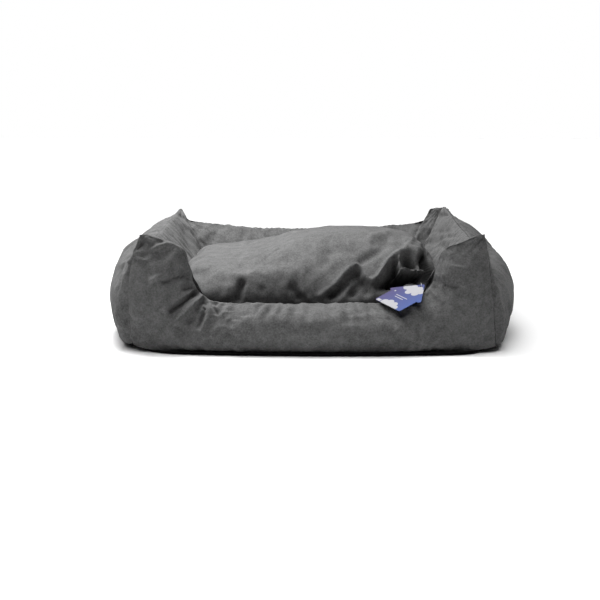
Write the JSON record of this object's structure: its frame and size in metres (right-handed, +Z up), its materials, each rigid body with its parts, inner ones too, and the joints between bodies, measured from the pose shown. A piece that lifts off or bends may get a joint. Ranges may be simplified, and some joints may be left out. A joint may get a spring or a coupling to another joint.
{
  "type": "dog bed",
  "caption": "Rectangular bolster dog bed with stuffed walls, pointed corner ears, a low front entry and a loose crowned cushion that lifts out.",
  "frame": {"origin": "middle of the bed's footprint, at the height of the floor that it rests on", "axes": "+X to the bed's right side seen from its entry, +Y from the entry to the back wall, +Z up"},
  "size_m": [1.0004, 0.7982, 0.255],
  "materials": {
    "wall_cloth": "dark grey suede-like upholstery cloth",
    "cushion_cloth": "dark grey suede-like upholstery cloth",
    "base_cloth": "black non-slip base cloth",
    "stuffing": "white fibre stuffing",
    "zip_tape": "woven zip tape with moulded teeth",
    "zip_metal": "black enamelled zinc",
    "tag_card": "laminated printed card, violet to blue",
    "tag_loop": "clear nylon"
  },
  "bodies": {
    "surround": {"front_outer_panel": "wall_cloth", "front_inner_panel": "wall_cloth", "front_filling": "stuffing", "right_outer_panel": "wall_cloth", "right_inner_panel": "wall_cloth", "right_filling": "stuffing", "back_outer_panel": "wall_cloth", "back_inner_panel": "wall_cloth", "back_filling": "stuffing", "left_outer_panel": "wall_cloth", "left_inner_panel": "wall_cloth", "left_filling": "stuffing", "base_cloth": "base_cloth", "floor_wadding": "stuffing", "floor_cloth": "wall_cloth", "tag_loop": "tag_loop"},
    "cushion": {"cushion_top_cover": "cushion_cloth", "cushion_bottom_cover": "cushion_cloth", "cushion_filling": "stuffing", "cushion_zip_upper_tape": "zip_tape", "cushion_zip_lower_tape": "zip_tape", "cushion_zip_stops": "zip_tape"},
    "zip_slider": {"cushion_zip_slider": "zip_metal"},
    "zip_puller": {"cushion_zip_puller": "zip_metal"},
    "tag": {"tag_card": "tag_card"}
  },
  "joints": [
    {"name": "cushion_lift", "type": "slide", "parent": "surround", "child": "cushion", "axis": [0, 0, 1], "range_m": [0, 0.3]},
    {"name": "zip_slide", "type": "slide", "parent": "cushion", "child": "zip_slider", "axis": [0, -1, 0], "range_m": [0, 0.2664], "deforming": ["cushion_zip_upper_tape", "cushion_zip_lower_tape"]},
    {"name": "puller_hinge", "type": "hinge", "parent": "zip_slider", "child": "zip_puller", "pos_m": [0.26887, 0.1332, 0.085], "axis": [0, 0, 1], "range_deg": [0, 170]},
    {"name": "tag_hinge", "type": "hinge", "parent": "surround", "child": "tag", "pos_m": [0.2501, -0.2962, 0.14041], "axis": [-0.5529, 0.8207, 0.1441], "range_deg": [0, 60]}
  ]
}
